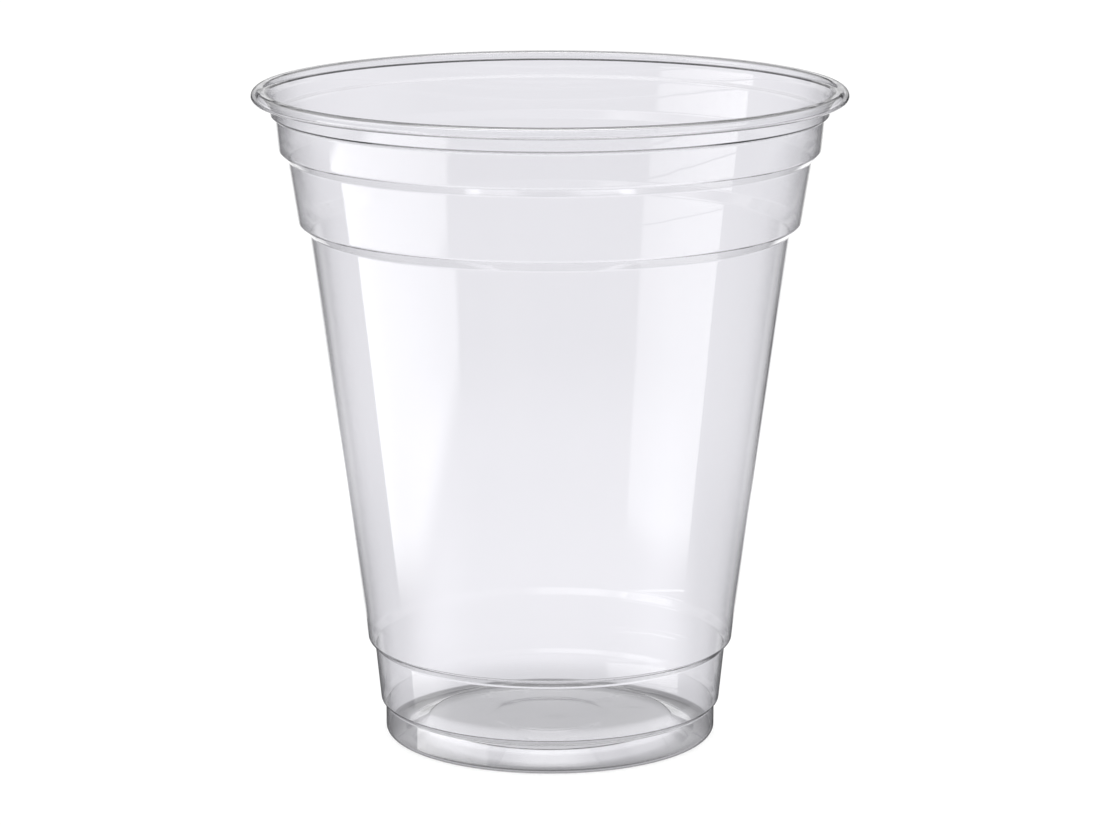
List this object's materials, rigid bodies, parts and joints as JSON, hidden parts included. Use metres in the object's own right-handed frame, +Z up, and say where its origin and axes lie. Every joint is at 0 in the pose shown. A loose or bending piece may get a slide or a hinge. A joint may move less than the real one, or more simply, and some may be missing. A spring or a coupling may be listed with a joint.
{
  "type": "disposable plastic cup",
  "caption": "Clear one-piece disposable cold-drink cup: tapered body, stepped grip bands, rolled rim that takes a press-on lid, drawn-in base with a pushed-up floor.",
  "frame": {"origin": "centre of the foot ring, on the surface that the cup stands on", "axes": "+Z up along the cup's axis of revolution, from the foot to the open mouth"},
  "size_m": [0.098, 0.098, 0.1091],
  "materials": {
    "clear_plastic": "clear, colourless PET with a polished surface"
  },
  "bodies": {
    "root": {"cup": "clear_plastic"}
  },
  "joints": []
}
